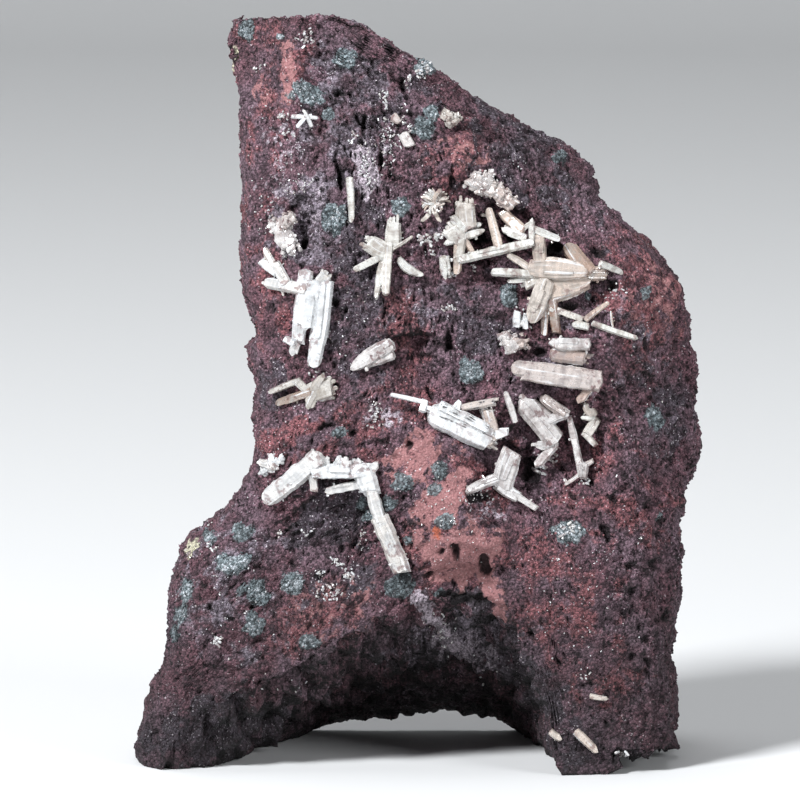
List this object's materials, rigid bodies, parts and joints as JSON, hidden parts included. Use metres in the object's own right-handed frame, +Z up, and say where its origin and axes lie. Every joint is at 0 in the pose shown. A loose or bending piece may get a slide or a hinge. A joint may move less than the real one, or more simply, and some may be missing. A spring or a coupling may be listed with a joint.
{
  "type": "cerussite mineral specimen",
  "caption": "Loose block of pitted purple-brown rock on broken feet, with white to cream cerussite blades grown over its front.",
  "frame": {"origin": "on the surface it stands on, under the middle of its bounding box", "axes": "+Z up, -Y towards the viewer of the crystals, +X to that viewer's right"},
  "size_m": [0.0715, 0.033, 0.0946],
  "materials": {
    "rock": "matt, granular, broken stone",
    "crystal": "bright, milky, translucent"
  },
  "bodies": {
    "root": {"matrix": "rock", "upper_blade": "crystal", "star_spray": "crystal", "curved_blade": "crystal", "twin_group": "crystal", "crust_left": "crystal", "spray_left": "crystal", "blade_middle": "crystal", "elbow_group": "crystal", "pale_cluster_left": "crystal", "striated_group": "crystal", "front_group": "crystal", "right_cluster": "crystal", "tablet_group": "crystal", "small_tablets": "crystal", "lumpy_crust": "crystal", "granular_crust": "crystal", "needle_rosette": "crystal", "jackstraw": "crystal", "star_top": "crystal", "pearly_blade_upper": "crystal", "pearly_blade_lower": "crystal", "cream_lump": "crystal", "tablet_lower": "crystal", "blade_foot": "crystal", "chip_foot_left": "crystal", "chip_right_leg": "crystal"}
  },
  "joints": []
}
